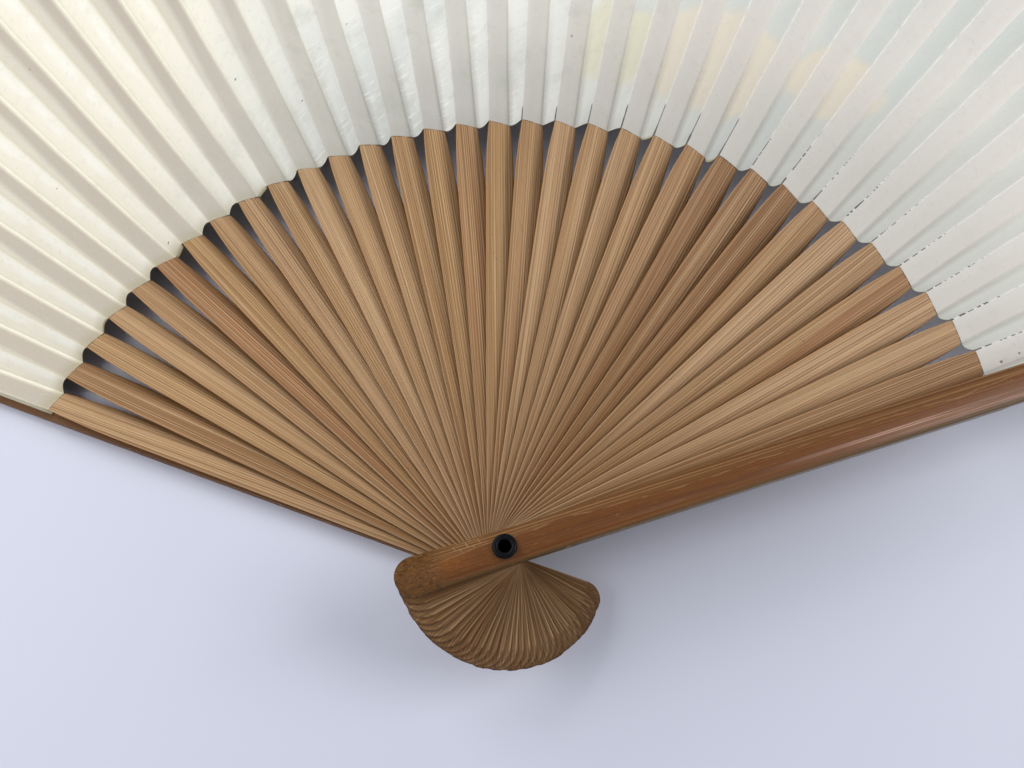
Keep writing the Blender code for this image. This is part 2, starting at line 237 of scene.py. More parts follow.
class Wire:
    # a node's output that takes part in ordinary sums
    tree = None

    def __init__(self, socket):
        self.socket = socket

    def __getitem__(self, name):
        return Wire(self.socket.node.outputs[name])

    @staticmethod
    def node(kind, settings, inputs, output=0):
        made = Wire.tree.nodes.new(kind)
        for name, value in settings.items():
            setattr(made, name, value)
        for name, value in inputs.items():
            goal = made.inputs[name]
            if isinstance(value, Wire):
                Wire.tree.links.new(value.socket, goal)
            elif goal.type == "RGBA":
                goal.default_value = (*value[:3], 1)
            else:
                goal.default_value = value
        return Wire(made.outputs[output]) if made.outputs else None

    @staticmethod
    def isNumber(term):
        return term.socket.type == "VALUE" if isinstance(term, Wire) else not isinstance(term, tuple)

    @staticmethod
    def sum(operation, *terms):
        if all(Wire.isNumber(term) for term in terms):
            return Wire.node("ShaderNodeMath", {"operation": operation}, dict(enumerate(terms)))
        spread = [term if isinstance(term, (Wire, tuple)) else (term, term, term) for term in terms]
        return Wire.node("ShaderNodeVectorMath", {"operation": operation}, dict(enumerate(spread)))

    def __add__(self, other):
        return Wire.sum("ADD", self, other)

    def __radd__(self, other):
        return Wire.sum("ADD", other, self)

    def __sub__(self, other):
        return Wire.sum("SUBTRACT", self, other)

    def __rsub__(self, other):
        return Wire.sum("SUBTRACT", other, self)

    def __mul__(self, other):
        return Wire.sum("MULTIPLY", self, other)

    def __rmul__(self, other):
        return Wire.sum("MULTIPLY", other, self)

    def __truediv__(self, other):
        return Wire.sum("DIVIDE", self, other)

    def __rtruediv__(self, other):
        return Wire.sum("DIVIDE", other, self)

    def __pow__(self, other):
        return Wire.sum("POWER", self, other)

    def __rpow__(self, other):
        return Wire.sum("POWER", other, self)

    def __abs__(self):
        return Wire.sum("ABSOLUTE", self)


def ramp(value, low, high):
    # 0 below low and 1 above high, or the other way round if low is the larger
    inputs = {"Value": value, "From Min": min(low, high), "From Max": max(low, high)}
    if low > high:
        inputs.update({"To Min": 1.0, "To Max": 0.0})
    return Wire.node("ShaderNodeMapRange", {"interpolation_type": "SMOOTHSTEP", "clamp": True}, inputs)


def straight(value, low, high, first=0.0, last=1.0):
    # first below low and last above high, with an even change between
    inputs = {"Value": value, "From Min": low, "From Max": high, "To Min": first, "To Max": last}
    return Wire.node("ShaderNodeMapRange", {}, inputs)


def bump(value, middle, width):
    # 1 at middle, falling to 0 a width away on both sides
    return ramp(abs(value - middle), width, 0.0)


def distance(a, b):
    return Wire.sum("SQRT", a * a + b * b)


def blendColor(a, b, share):
    settings = {"data_type": "RGBA", "blend_type": "MIX"}
    return Wire.node("ShaderNodeMix", settings, {0: share, 6: a, 7: b}, 2)


def layered(color, tints, layers):
    # paints each (tint, share) over what is there
    for tint, share in layers:
        color = blendColor(color, tints[tint], share)
    return color


def parts(vector):
    made = Wire.node("ShaderNodeSeparateXYZ", {}, {"Vector": vector})
    return made["X"], made["Y"], made["Z"]


def joined(x, y, z):
    return Wire.node("ShaderNodeCombineXYZ", {}, {"X": x, "Y": y, "Z": z})


def noise(vector, scale=1.0, detail=2.0, rough=0.5, twist=0.0):
    inputs = {"Vector": vector, "Scale": scale, "Detail": detail, "Roughness": rough, "Distortion": twist}
    return Wire.node("ShaderNodeTexNoise", {}, inputs)


def chance(value):
    return Wire.node("ShaderNodeTexWhiteNoise", {"noise_dimensions": "1D"}, {"W": value})


def attribute(name, output="Vector"):
    return Wire.node("ShaderNodeAttribute", {"attribute_name": name}, {}, output)


def bumped(height, distance, strength=1.0):
    return Wire.node("ShaderNodeBump", {}, {"Height": height, "Distance": distance, "Strength": strength})


def newMaterial(name):
    material = bpy.data.materials.new(name)
    material.use_nodes = True
    Wire.tree = material.node_tree
    Wire.tree.nodes.clear()
    return material


def surface(**inputs):
    named = {name.replace("_", " "): value for name, value in inputs.items()}
    shader = Wire.node("ShaderNodeBsdfPrincipled", {}, named)
    Wire.node("ShaderNodeOutputMaterial", {}, {"Surface": shader})


def srgb(r, g, b):
    return tuple(((c / 255 + 0.055) / 1.055) ** 2.4 for c in (r, g, b))


# ribs

rib = {
    "base": srgb(181, 143, 102),
    "pale": srgb(208, 172, 132),
    "red": srgb(174, 120, 82),
    "deep": srgb(140, 98, 60),
    "yellow": srgb(190, 154, 100),
    "dark": srgb(122, 88, 56),
    "light": srgb(222, 192, 154),
    "shade": srgb(102, 67, 28),
    "rind": srgb(198, 150, 102),
    "spot": srgb(84, 56, 36),
    "paleRibs": {1: 0.75, 4: 0.6, 9: 1.0, 10: 0.6, 11: 0.95, 12: 0.45, 13: 0.8, 19: 0.75, 20: 0.4,
                 21: 0.75, 28: 1.0, 31: 0.9, 32: 0.7},
    "redRibs": {6: 1.0, 16: 0.9, 24: 0.8, 30: 0.9},
    "deepRibs": {2: 0.6, 6: 0.5, 23: 0.35, 24: 0.9, 25: 0.8, 26: 0.95, 33: 0.85},
    "deeperRight": 0.08,  # how much the ribs deepen from the middle to the right
    "grooves": 2.1,  # across one mm
    "seedStep": 7.31,  # from one rib's pattern to the next
    "tailShorter": 0.22 * mm,  # these four are how much one rib may differ from another
    "bladeShorter": 0.07 * mm,
    "bladeVaries": (0.985, 1),
    "endVaries": (0.97, 1),
    "tailLength": 18.3 * mm,
    "tailWidth": 6.3 * mm,
    "tailCheek": (-9 * mm, 3.06 * mm, 0),  # a row between the round end and the hub
    "bladeWidth": 5.86 * mm,
    "bladeEnd": 91.79 * mm,
    "taper": 18 * mm,  # the length over which the blade narrows to its end
    "endWidth": 4.5 * mm,
    "endCorner": [(0.12, 0.0), (0.04, 0.03), (0.0, 0.1)],  # mm back from the end and in from the side
    "thickness": 0.42 * mm,
    "edge": 0.07 * mm,
    "wear": 0.035 * mm,  # how much lower the upper side is along its edges
    "slipGap": 0.08 * mm,  # from the blade's end to the slip's first row
    "slipNeck": (1.2 * mm, -0.1 * mm),  # half width and middle there
    "slipShoulder": (98 * mm, 1.1 * mm, -0.35 * mm),
    "slipEnd": 195 * mm,
    "slipHalfWidth": [(98, 1.1), (195, 0.75)],  # (mm from the rivet, mm)
    "slipMiddle": [(92, -0.2), (140, -0.7), (195, -1.15)],
    "slipHalfThickness": 0.13 * mm,
}


def slipMiddle(r):
    return between(r, rib["slipMiddle"]) * mm


def ribRows(chooser):
    tail = rib["tailLength"] - chooser.uniform(0, rib["tailShorter"])
    blade = rib["bladeWidth"] / 2 * chooser.uniform(*rib["bladeVaries"])
    end = rib["endWidth"] / 2 * chooser.uniform(*rib["endVaries"])
    bladeEnd = rib["bladeEnd"] - chooser.uniform(0, rib["bladeShorter"])
    shoulder = bladeEnd - rib["taper"]
    rows = [(-tail + back, half, 0) for back, half in roundEnd(rib["tailWidth"], tailTurn, 9)]
    rows += [rib["tailCheek"], (-hubHalf, blade, 0), (hubHalf, blade, 0)]
    rows += [(hubHalf + (shoulder - hubHalf) * step / 7, blade, 0) for step in range(1, 8)]
    for step in range(1, 9):
        share = step / 9
        rows.append((shoulder + rib["taper"] * share, blade - (blade - end) * share ** 2.3, 0))
    rows += [(bladeEnd - back * mm, end - drop * mm, 0) for back, drop in rib["endCorner"]]
    # the thin slip that runs on inside the leaf
    slip = [(bladeEnd + rib["slipGap"], *rib["slipNeck"]), rib["slipShoulder"]]
    for r in (115, 140, 168, 195):
        slip.append((r * mm, between(r, rib["slipHalfWidth"]) * mm, slipMiddle(r)))
    return rows, slip


def ribMesh(index):
    chooser = random.Random(400 + index)
    rows, slip = ribRows(chooser)
    slipStart = slip[0][0] - 0.01 * mm

    def half(u):
        return rib["slipHalfThickness"] if u > slipStart else rib["thickness"] / 2

    def low(u, v):
        return lean(u) * v - half(u)

    def high(u, v):
        return lean(u) * v + half(u) - rib["wear"] * (v / rib["bladeWidth"] * 2) ** 2

    columns = (-1, -0.86, -0.45, 0, 0.45, 0.86, 1)
    data = stickMesh(ribName(index), rows + slip, columns, low, high, rib["edge"])
    pale = rib["paleRibs"].get(index, chooser.uniform(0, 0.3))
    red = rib["redRibs"].get(index, chooser.uniform(0, 0.25))
    deep = rib["deepRibs"].get(index, chooser.uniform(0, 0.2))
    deep += rib["deeperRight"] * eased((index - 10) / 8) * (1 - deep)
    tone = data.attributes.new("tone", "FLOAT_VECTOR", "POINT")
    for item in tone.data:
        item.vector = (pale, red, deep)
    return withGrain(data, index * rib["seedStep"])


def bambooMaterial():
    material = newMaterial("pale bamboo")
    u, v, seed = parts(attribute("grain"))
    pale, red, deep = parts(attribute("tone"))
    onBlade = ramp(u, 0.0, 9.0)
    onTail = ramp(u, -1.0, -5.0)
    side = v / (2.93 - straight(u, 73.8, 91.8) ** 2.3 * 0.68)  # -1 and 1 on the rib's edges

    # the tone of the rib, and lines and grooves that run along it
    offset = v + noise(joined(u * 0.02, seed, 0.0), 1.0, 1.0) * 0.6
    lines = noise(joined(u * 0.004, offset * 4.2, seed), 1.0, 3.0, 0.7)
    spread = noise(joined(u * 0.004, offset * 0.9, seed), 1.0, 2.0) * 9.0
    groove = Wire.sum("SINE", offset * (rib["grooves"] * 2 * pi) + spread)
    strength = noise(joined(u * 0.02, v * 0.9, seed + 40.0), 1.0, 2.0)
    streak = noise(joined(u * 0.012, offset * 1.5, seed), 1.0, 3.0, 0.6)
    fleck = noise(joined(u * 0.14, v * 9.0, seed), 1.0, 2.0, 0.6)
    broad = noise(joined(u * 0.014, v * 0.5, seed), 1.0, 2.0, 0.5)
    color = layered(rib["base"], rib, [
        ("yellow", ramp(chance(seed), 0.5, 0.1) * 0.7),
        ("pale", pale),
        ("red", red * ramp(broad + streak, 1.2, 0.8)),
        ("deep", deep),
        ("dark", ramp(broad, 0.5, 0.75) * 0.3),
        ("dark", ramp(streak, 0.52, 0.7) * 0.3),
        ("light", ramp(streak, 0.46, 0.3) * 0.3),
        ("dark", ramp(lines, 0.53, 0.61) * 0.5),
        ("light", ramp(lines, 0.46, 0.38) * 0.4),
        ("dark", ramp(groove, 0.6, 0.95) * ramp(strength, 0.34, 0.6) * 0.55),
        ("light", ramp(groove, -0.7, -0.97) * ramp(strength, 0.64, 0.42) * 0.45),
        ("dark", ramp(fleck, 0.56, 0.68) * 0.3),
    ])

    # painted shade on the low side, along the edges and towards the hub, painted shadow along the edge of
    # the rib above, and painted highlights along the raised left edge
    toCover = v - rib["bladeWidth"] / mm / 2 + u * sin(pitch[1])
    toRight = ramp(seed / rib["seedStep"], 17.0, 29.0)
    paintedShade = onBlade * (0.3 + chance(seed + 2.0) * 0.4)
    color = layered(color, rib, [
        ("shade", ramp(side, 0.0, -1.0) * onBlade * 0.3),
        ("shade", ramp(side, 0.62, 0.94) * onBlade * 0.24),
        ("shade", ramp(side, -0.9, -0.98) * onBlade * 0.5),
        # painted highlight along the raised left edge
        ("rind", ramp(side, 0.86, 0.96) * ramp(u, 20.0, 80.0) * 0.5),
        ("shade", ramp(u, 74.0, 2.0) * 0.48),
        # painted shadow cast by the rib above
        ("shade", ramp(toCover, 0.7, 0.05) * paintedShade),
        ("shade", ramp(toCover, 2.4, 0.1) * onBlade * toRight * 0.5),
        # painted highlight along the left edge near the hub
        ("light", ramp(side, 0.9, 0.97) * onBlade * ramp(u, 60.0, 30.0) * 0.3),
    ])

    # the tail is darker, painted shade that differs from rib to rib, with a painted highlight along its
    # raised edge and painted shade beside it, hairs, scales and a dark rim round its end
    hairs = noise(joined(u * 0.03, v * 5.5, seed + 60.0), 1.0, 2.0, 0.6)
    specks = noise(joined(u * 1.1, v * 5.0, seed), 1.0, 1.0)
    rounded = distance(u + 15.15, v)
    scales = Wire.sum("SINE", (u + v * 0.8) * 6.5 + chance(seed + 5.0) * 6.0)
    color = layered(color, rib, [
        ("shade", onTail * (0.3 + chance(seed + 8.0) * 0.34)),
        # painted highlight along the tail's raised edge
        ("light", ramp(v, -2.82, -3.0) * onTail * chance(seed + 3.0) * 0.3),
        # painted shade beside that edge
        ("spot", ramp(v, -2.7, -2.4) * ramp(v, -1.9, -2.4) * onTail * 0.12),
        ("spot", ramp(hairs, 0.5, 0.6) * onTail * 0.34),
        ("light", ramp(hairs, 0.44, 0.34) * onTail * 0.22),
        ("spot", ramp(specks, 0.74, 0.8) * 0.7),
        ("spot", ramp(scales, 0.5, 0.9) * ramp(rounded, 2.0, 2.8) * ramp(u, -14.0, -15.4) * 0.4),
        ("spot", ramp(rounded, 2.84, 3.06) * ramp(u, -14.6, -15.4) * 0.9),
        ("spot", ramp(u, 91.66, 91.76) * ramp(strength, 0.45, 0.6) * 0.6),  # the rib's cut end
    ])
    height = groove * 0.3 + lines * 0.8 + fleck * 0.2
    surface(
        Base_Color=color,
        Roughness=0.44 + streak * 0.2,
        Specular_IOR_Level=0.25,
        Normal=bumped(height, 0.00005, 0.9),
    )
    return material


bamboo = bambooMaterial()
for index in range(1, ribCount + 1):
    name = ribName(index)
    piece = added("bamboo_" + name, ribMesh(index), bamboo, ribAngle[index], ribHeight[index])
    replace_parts(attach(piece, name), name)
print("ribs done:", ribCount)


# guards

guard = {
    "base": srgb(106, 61, 14),
    "deep": srgb(82, 42, 8),
    "light": srgb(130, 82, 34),
    "scraped": srgb(108, 73, 32),
    "line": srgb(168, 124, 82),
    "rubbed": srgb(206, 166, 146),
    "olive": srgb(86, 74, 40),
    "amber": srgb(138, 82, 24),
    "tail": srgb(104, 68, 30),
    "tailDark": srgb(40, 28, 14),
    "etched": srgb(200, 160, 116),
    "seeds": {"rear_guard": 47.9, "front_guard": 91.3},  # each guard's own pattern
    "tailWidth": 6.36 * mm,
    "tailRound": 3.2 * mm,  # the length of the tail's round end
    "tailCheek": -9 * mm,  # a row between the round end and the hub
    "pivotWidth": 5.68 * mm,
    "tipWidth": 7.16 * mm,
    "tipTurn": radians(66),
    "thickness": 2.8 * mm,
    "drop": 0.6 * mm,  # how much lower the outer side is along its edges
    "edge": 0.22 * mm,
    "plainEnd": 90 * mm,  # just short of the recess
    "recess": 0.9 * mm,  # for the leaf
    "recessStart": 90.6 * mm,
    "recessEnd": 91.8 * mm,
}


def guardRows():
    tail = rib["tailLength"]
    sides = [(-tail + guard["tailRound"], guard["tailWidth"] / 2), (0, guard["pivotWidth"] / 2)]
    sides.append((leafEnd, guard["tipWidth"] / 2))
    places = [guard["tailCheek"], -hubHalf, hubHalf]
    places += [hubHalf + (guard["plainEnd"] - hubHalf) * step / 9 for step in range(1, 10)]
    places += [guard["recessStart"], guard["recessEnd"]]
    places += [(93 + step * 12) * mm for step in range(10)]
    rows = [(-tail + back, half, 0) for back, half in roundEnd(guard["tailWidth"], tailTurn, 9)]
    rows += [(u, between(u, sides), 0) for u in places]
    tip = roundEnd(guard["tipWidth"], guard["tipTurn"], 6)
    rows += [(leafEnd - back, half, 0) for back, half in reversed(tip)]
    return rows


def guardMesh(name, front):
    rows = guardRows()
    halves = [(u, half) for u, half, middle in rows]
    side = 1 if front else -1

    def outer(u, v):
        share = min(abs(v) / between(u, halves), 1)
        return guard["drop"] * share ** 2.6

    def inner(u, v):
        recess = between(u, [(guard["recessStart"], 0), (guard["recessEnd"], guard["recess"])])
        return guard["thickness"] - recess - min(max(side * lean(u) * v, 0), leanDepth)

    if front:
        low, high = (lambda u, v: -inner(u, v)), (lambda u, v: -outer(u, v))
    else:
        low, high = outer, inner
    columns = (-1, -0.93, -0.8, -0.6, -0.3, 0, 0.3, 0.6, 0.8, 0.93, 1)
    return stickMesh(name, rows, columns, low, high, guard["edge"])


def guardMaterial():
    material = newMaterial("smoked bamboo")
    u, v, seed = parts(attribute("grain"))
    side = v / 2.9
    long = noise(joined(u * 0.012, v * 0.9, seed), 1.0, 3.0, 0.55, 0.4)
    streak = noise(joined(u * 0.02, v * 3.2, seed), 1.0, 4.0, 0.65)
    hair = noise(joined(u * 0.006, v * 7.0, seed + 5.0), 1.0, 2.0, 0.6)
    mottle = noise(joined(u * 0.22, v * 0.8, seed), 1.0, 4.0, 0.6)
    color = layered(guard["base"], guard, [
        ("deep", ramp(long, 0.45, 0.68) * 0.6),
        ("light", ramp(streak, 0.5, 0.3) * 0.4),
        ("deep", ramp(streak, 0.55, 0.75) * 0.4),
        ("deep", ramp(mottle, 0.52, 0.72) * 0.3),
        ("deep", ramp(hair, 0.54, 0.64) * 0.35),
        ("line", ramp(hair, 0.42, 0.34) * 0.22),
    ])

    # the rind is scraped off along the inner edge, in a strip that wanders
    wave = noise(joined(u * 0.05, seed, 0.0), 1.0, 2.0) * 1.1 + noise(joined(u * 0.3, seed, 9.0)) * 0.12
    scrape = ramp(side + wave, 0.92, 1.14)
    color = layered(color, guard, [
        ("scraped", scrape * 0.7),
        ("deep", scrape * ramp(hair, 0.5, 0.6) * 0.5),
        ("line", scrape * ramp(hair, 0.46, 0.36) * 0.45),
        ("line", bump(side + wave, 1.0, 0.07) * ramp(mottle, 0.4, 0.55) * 0.45),
    ])

    # and rubbed pale with a painted highlight along the outer one, most of all halfway up
    thin = noise(joined(u * 0.03, v * 5.0, seed + 9.0), 1.0, 3.0, 0.7)
    rubbed = bump(side + wave * 0.12, -0.34, 0.2) * bump(u, 70.0, 28.0) * 0.8
    rubbed = rubbed + bump(side, -0.74, 0.2) * ramp(u, 50.0, 80.0) * 0.4
    rubbed = rubbed + bump(side, -0.5, 0.16) * bump(u, 24.0, 16.0) * 0.2
    color = layered(color, guard, [
        # rubbed wear and painted highlight
        ("rubbed", rubbed * ramp(thin, 0.66, 0.38)),
        ("olive", ramp(side, -0.8, -0.98) * 0.6),
        ("deep", ramp(side, 0.5, -0.9) * ramp(u, 20.0, -6.0) * 0.3),
    ])

    # a rough dark tail with an amber glow before it, a few scratched boxes and scuffs
    tail = ramp(u, -9.5, -13.0)
    fibres = noise(joined(u * 1.1, v * 2.3, seed), 1.0, 6.0, 0.75, 1.0)
    glow = bump(u, -9.0, 5.0) * bump(side, 0.0, 0.6) * ramp(fibres, 0.62, 0.42)
    boxes = Wire.node("ShaderNodeTexBrick", {"offset": 0.37}, {
        "Vector": joined(u * 0.9 + v * 0.3, v * 1.25, 0.0),
        "Scale": 1.0,
        "Mortar Size": 0.04,
        "Brick Width": 1.9,
        "Row Height": 1.1,
        "Color1": (0, 0, 0),
        "Color2": (0, 0, 0),
        "Mortar": (1, 1, 1),
    })
    scuffs = noise(joined(u * 0.5, v * 14.0, seed), 1.0, 2.0)
    color = layered(color, guard, [
        ("amber", glow * 0.75),
        ("tail", tail * 0.8),
        ("tailDark", (tail + glow * 0.4) * ramp(fibres, 0.46, 0.62) * 0.72),
        ("line", tail * ramp(fibres, 0.44, 0.34) * 0.4),
        ("etched", boxes * bump(u, -5.5, 4.5) * bump(v, 2.2, 1.5) * 0.85),
        ("etched", ramp(scuffs, 0.66, 0.74) * 0.3),
    ])
    height = streak * 0.5 + mottle * 0.3 + fibres * tail * 1.2 + hair * scrape * 0.6
    surface(
        Base_Color=color,
        Roughness=0.27 + streak * 0.14 + tail * 0.3 + scrape * 0.2 + ramp(u, 50.0, 10.0) * 0.12,
        Specular_IOR_Level=0.3,
        Normal=bumped(height, 0.0001, 0.8),
    )
    return material


smoked = guardMaterial()
for name, front, angle in (("rear_guard", False, rearAngle), ("front_guard", True, frontAngle)):
    data = withGrain(guardMesh(name, front), guard["seeds"][name])
    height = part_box(name)[1 if front else 0].z
    piece = added("smoked_" + name, data, smoked, angle, height)
    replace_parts(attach(piece, name), name)
print("guards done")


# rivet

rivet = {
    "color": srgb(6, 7, 10),
    "dust": srgb(96, 96, 104),
    "radius": 1.6 * mm,
    "bore": 1.0 * mm,
    "mouthDepth": 0.6 * mm,  # below the rim
    "throat": 0.94 * mm,  # the narrower bore further down
    "throatDepth": 3 * mm,
    "bottom": 0.9 * mm,  # the thickness of the closed end
    "rim": 2.04 * mm,
    "rimHeight": 0.7 * mm,
    "rimWall": 0.2 * mm,  # the upright part below the roll
    "head": 2.04 * mm,
    "headRound": (0.15 * mm, 0.12 * mm),
    "headHeight": 0.8 * mm,
    "steps": 64,
}


def rivetMesh():
    radius, bore, throat, rim = (rivet[name] for name in ("radius", "bore", "throat", "rim"))
    head, headHeight = rivet["head"], rivet["headHeight"]
    inward, upward = rivet["headRound"]
    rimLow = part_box("eyelet_rivet")[1].z - rivet["rimHeight"]
    middle, half = (rim + bore) / 2, (rim - bore) / 2
    roll = rivet["rimHeight"] - rivet["rimWall"]
    profile = [(0, 0), (head - inward, 0), (head, upward), (head, headHeight)]
    profile += [(radius, headHeight), (radius, rimLow), (rim - 0.05 * mm, rimLow)]
    for step in range(13):
        turn = pi * step / 12
        lift = rivet["rimWall"] + roll * sin(turn) ** 0.8
        profile.append((middle + half * cos(turn), rimLow + lift))
    profile += [(bore, rimLow - rivet["mouthDepth"]), (throat, rimLow - rivet["throatDepth"])]
    profile += [(throat, rivet["bottom"]), (0, rivet["bottom"] - 0.05 * mm)]
    mesh = bmesh.new()
    verts = [mesh.verts.new((x, 0, z)) for x, z in profile]
    edges = [mesh.edges.new(pair) for pair in zip(verts, verts[1:])]
    turned = {"axis": (0, 0, 1), "cent": (0, 0, 0), "angle": 2 * pi, "steps": rivet["steps"]}
    bmesh.ops.spin(mesh, geom=verts + edges, use_merge=True, **turned)
    bmesh.ops.remove_doubles(mesh, verts=mesh.verts[:], dist=0.001 * mm)
    return smoothMesh("rivet", mesh, 35)


def plasticMaterial():
    material = newMaterial("black plastic")
    place = Wire.node("ShaderNodeTexCoord", {}, {}, "Object") * 1000.0
    x, y, z = parts(place)
    scratch = noise(joined(x * 1.5 + y * 9.0, y * 1.5 - x * 2.0, z), 1.0, 3.0)
    dust = noise(place, 7.0, 2.0)
    surface(
        Base_Color=blendColor(rivet["color"], rivet["dust"], ramp(dust, 0.66, 0.8) * 0.2),
        Roughness=0.3 + ramp(scratch, 0.5, 0.8) * 0.3,
        Specular_IOR_Level=0.1,
        Normal=bumped(scratch, 0.00004, 0.8),
    )
    return material


piece = added("plastic_rivet", rivetMesh(), plasticMaterial())
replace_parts(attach(piece, "rear_guard"), "eyelet_rivet")
print("rivet done")


# leaf

leaf = {
    "cream": srgb(247, 243, 229),  # free paper from the left to the right
    "white": srgb(240, 241, 236),
    "pearl": srgb(218, 220, 213),
    "bandCream": srgb(200, 191, 178),  # the same where the slips lie behind it, also painted shade over the rest of a rib's face
    "bandWhite": srgb(225, 223, 215),
    "bandPearl": srgb(232, 227, 222),
    "olive": srgb(214, 207, 180),
    "dip": srgb(216, 210, 188),
    "crease": srgb(146, 143, 132),
    "rubbed": srgb(252, 250, 246),
    "gloss": srgb(255, 255, 250),
    "ripple": srgb(250, 252, 250),
    "rimTint": srgb(178, 168, 132),
    "mottle": srgb(182, 184, 172),
    "pulp": srgb(178, 172, 158),
    "thread": srgb(246, 243, 234),
    "speck": srgb(120, 96, 74),
    "slit": srgb(66, 66, 64),
    "under": srgb(150, 142, 98),
    "back": srgb(232, 224, 198),
    "cloudWarm": srgb(236, 224, 204),
    "cloudYellow": srgb(229, 226, 198),
    "cloudCool": srgb(207, 214, 211),
    "clouds": [(46, 106, 15, "cloudWarm"), (70, 98, 10, "cloudWarm"), (25, 112, 11, "cloudYellow")],
    "lowerEdge": 91.82 * mm,
    "ridgeUneven": 0.14 * mm,  # how far the lower edge may be off at a ridge, and at a valley
    "valleyUneven": 0.3 * mm,
    "half": 0.1 * mm,  # half the thickness of the two glued sheets
    "ridgeTurn": [(92, 1.42), (100, 1.32), (130, 1.28)],  # (mm from the rivet, degrees)
    "valleyTurn": [(92, 1.32), (104, 1.16), (130, 1.0)],
    "ridgeSoft": -0.11 * mm,  # how much the folds are rounded
    "valleySoft": 0.09 * mm,
    "slipLeft": [(92, 0.95), (140, 0.35), (195, -0.35)],  # where the slips show, (mm from the rivet, mm)
    "slipRight": [(92, -1.5), (140, -1.75), (195, -2.0)],
    "slipRise": [(92, 0.1), (100, 0.2)],
    "sag": [(1, -0.4), (9, -0.4), (10, 0.38), (16, 0.42), (18, -0.05), (21, 0.0), (22, 0.35), (33, 0.4)],
    "lips": {3: 0.3, 6: 1.0, 9: 0.9, 21: 0.5, 23: 0.6},  # back sheet showing below the edge, mm
    "wander": 0.09 * mm,
    "stripHalf": 2.0 * mm,  # half the width of the paper glued along a guard
    "stripShort": 0.6 * mm,
    "stripLift": 0.12 * mm,
}
leafReach = 117.9 * mm  # from the leaf's lower edge to its outer one, with the rows of its sheets
alongLeaf = [0, 1.0, 2.5, 5.0, 9.0, 14.0, 20.0, 28.0, 37.0, 47.0, 58.0, 70.0, 83.0, 96.0, 108.0, 117.9]
alongLeaf = [place * mm for place in alongLeaf]
up = Vector((0, 0, 1))


def waver(index, side, r):
    # a fold's own small wandering, the same for both panels that meet there
    chooser = random.Random(index * 2 + (side > 0) + 9000)
    phases = [chooser.uniform(0, 2 * pi) for n in range(3)]
    lengths = [chooser.uniform(24, 40) * mm, chooser.uniform(11, 18) * mm, chooser.uniform(60, 90) * mm]
    share = sum(sin(2 * pi * r / length + phase) for length, phase in zip(lengths, phases)) / 3
    return share * eased((r - leafStart) / (20 * mm))


def foldAcross(index, side, r):
    turn = radians(between(r / mm, leaf["ridgeTurn" if side > 0 else "valleyTurn"]))
    return side * r * sin(turn) + leaf["wander"] * waver(index, side, r)


def lowerEdge(index, side):
    # the sheet wasn't cut quite straight
    chooser = random.Random(index * 2 + (side > 0) + 500)
    return leaf["lowerEdge"] + chooser.uniform(0, leaf["ridgeUneven" if side > 0 else "valleyUneven"])


def foldPoint(index, side, r):
    v = foldAcross(index, side, r)
    u = (r * r - v * v) ** 0.5
    return onStick(ribAngle[index], ribHeight[index], u, v, fullLean * v)


def radiusAt(index, side, along):
    start = lowerEdge(index, side)
    return start + (leafEnd - start) * along / leafReach


def faceSection(index, along):
    # the paper over a rib's slip, from the ridge on its left to the valley on its right
    r = radiusAt(index, 1, along)
    low = radiusAt(index, -1, along)
    ridge, valley = foldAcross(index, 1, r), foldAcross(index, -1, low)
    slipLeft = between(r / mm, leaf["slipLeft"]) * mm
    slipRight = between(r / mm, leaf["slipRight"]) * mm
    raised = between(r / mm, leaf["slipRise"]) * mm * eased((rib["slipEnd"] - r) / (6 * mm))
    half = leaf["half"]
    inner = ridge - 0.3 * mm
    section = [(ridge, half, leaf["ridgeSoft"]), (inner, half, 0)]  # (v, lift, rounding of a fold)
    for share in (0.35, 0.7, 1):
        section.append((inner + (slipLeft - inner) * share, half + raised * share, 0))
    section += [
        (slipLeft + (slipRight - slipLeft) * 0.12, half + raised, 0),
        ((slipLeft + slipRight) / 2, half + raised * 0.85, 0),
        (slipRight, half + raised * 0.6, 0),
        (slipRight + (valley - slipRight) * 0.3, half + raised * 0.2, 0),
        (valley + 0.25 * (slipRight - valley), half, 0),
        (valley, half, leaf["valleySoft"]),
    ]
    row = []
    for v, lift, soft in section:
        share = (ridge - v) / (ridge - valley)
        reach = r + (low - r) * share
        u = (reach * reach - v * v) ** 0.5
        middle = onStick(ribAngle[index], ribHeight[index], u, v, fullLean * v + soft)
        drop = max(lift - 0.05 * mm, half)
        row.append((middle + up * lift, middle - up * drop, (r / mm, share, index)))
    return row


def panelRow(index, along):
    # the free paper from a rib's valley up to the next rib's ridge
    low = foldPoint(index, -1, radiusAt(index, -1, along))
    high = foldPoint(index + 1, 1, radiusAt(index + 1, 1, along))
    return betweenFolds(low, high, index, along)


def betweenFolds(low, high, index, along):
    chooser = random.Random(index + 1300)
    sag = (between(index, leaf["sag"]) + chooser.uniform(-0.1, 0.1)) * mm
    deep = sag * (0.3 + 0.7 * exp(-along / (8 * mm)))
    cut = sag * 1.1 * max(1 - along / (5 * mm), 0)
    lip = leaf["lips"].get(index, 0) * mm if along == 0 else 0
    row = []
    for across in (0, 0.1, 0.26, 0.42, 0.58, 0.74, 0.9, 1):
        point = low.lerp(high, across)
        outward = Vector((point.x, point.y, 0)).normalized()
        arch = 4 * across * (1 - across)
        point = point - up * deep * arch - outward * cut * arch
        point.z += {0: leaf["valleySoft"], 1: leaf["ridgeSoft"]}.get(across, 0)
        reach = hypot(point.x, point.y) / mm
        under = point - up * (leaf["half"] + 0.3 * lip) - outward * lip * arch ** 0.5
        row.append((point + up * leaf["half"], under, (reach, across, index)))
    return row


